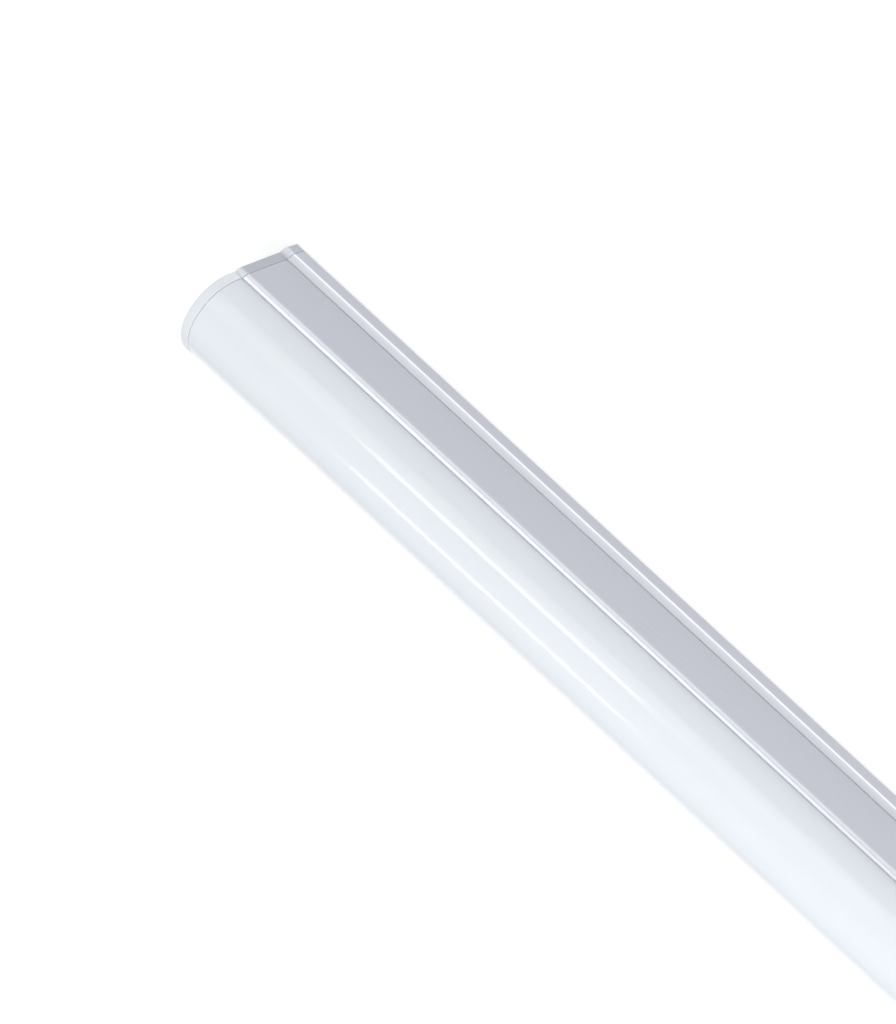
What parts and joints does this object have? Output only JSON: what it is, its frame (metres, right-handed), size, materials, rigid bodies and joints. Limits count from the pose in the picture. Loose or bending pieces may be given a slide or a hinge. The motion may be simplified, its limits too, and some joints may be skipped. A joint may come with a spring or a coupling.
{
  "type": "led light tube",
  "caption": "Slim batten lamp: aluminium back with driver inside, opal half-round cover, white end caps with a mains socket at each end.",
  "frame": {"origin": "centre of the flat back face that the lamp is fastened by", "axes": "+X along the tube, towards the end whose mains socket is open; +Y across it; +Z from the back to the crown of the cover"},
  "size_m": [0.6, 0.0298, 0.0371],
  "materials": {
    "anodised_aluminium": "satin natural anodised extrusion",
    "opal_cover": "co-extruded opal polycarbonate, smooth",
    "white_board": "aluminium circuit board with white solder mask",
    "led_phosphor": "white LED packages with yellow phosphor",
    "white_plastic": "white moulded polycarbonate",
    "zinc_steel": "zinc-plated",
    "black_plastic": "black moulded plastic",
    "brass": "plain",
    "green_board": "glass-epoxy board with green mask",
    "clear_sleeve": "milky insulating tube",
    "resistor_body": "lacquered",
    "yellow_film": "moulded box",
    "ferrite": "sintered ferrite",
    "copper_winding": "enamelled copper wire",
    "capacitor_sleeve": "shrink sleeve on an aluminium can",
    "brown_wire": "PVC insulation",
    "blue_wire": "PVC insulation",
    "earth_wire": "PVC insulation",
    "red_wire": "PVC insulation",
    "black_wire": "PVC insulation",
    "grey_rubber": "matt"
  },
  "bodies": {
    "root": {"base_extrusion": "anodised_aluminium", "diffuser_cover": "opal_cover", "led_board": "white_board", "led_string": "led_phosphor", "end_cap_right": "white_plastic", "end_cap_left": "white_plastic", "cap_right_screw_front": "zinc_steel", "cap_right_screw_back": "zinc_steel", "cap_left_screw_front": "zinc_steel", "cap_left_screw_back": "zinc_steel", "inlet_socket": "black_plastic", "outlet_socket": "black_plastic", "inlet_pin_live": "brass", "inlet_pin_earth": "brass", "inlet_pin_neutral": "brass", "outlet_pin_live": "brass", "outlet_pin_earth": "brass", "outlet_pin_neutral": "brass", "blanking_plug": "white_plastic", "earth_lug": "brass", "driver_board": "green_board", "driver_sleeve": "clear_sleeve", "fuse_resistor": "resistor_body", "suppression_capacitor": "yellow_film", "input_choke_core": "ferrite", "input_choke_winding": "copper_winding", "bridge_rectifier": "black_plastic", "bulk_capacitor": "capacitor_sleeve", "control_chip": "black_plastic", "transformer_core": "ferrite", "transformer_winding": "copper_winding", "output_diode": "black_plastic", "output_capacitor": "capacitor_sleeve", "through_wire_live": "brown_wire", "through_wire_earth": "earth_wire", "through_wire_neutral": "blue_wire", "driver_wire_live": "brown_wire", "driver_wire_neutral": "blue_wire", "earth_bond_wire": "earth_wire", "output_wire_positive": "red_wire", "output_wire_negative": "black_wire", "wire_grommet": "grey_rubber"}
  },
  "joints": []
}
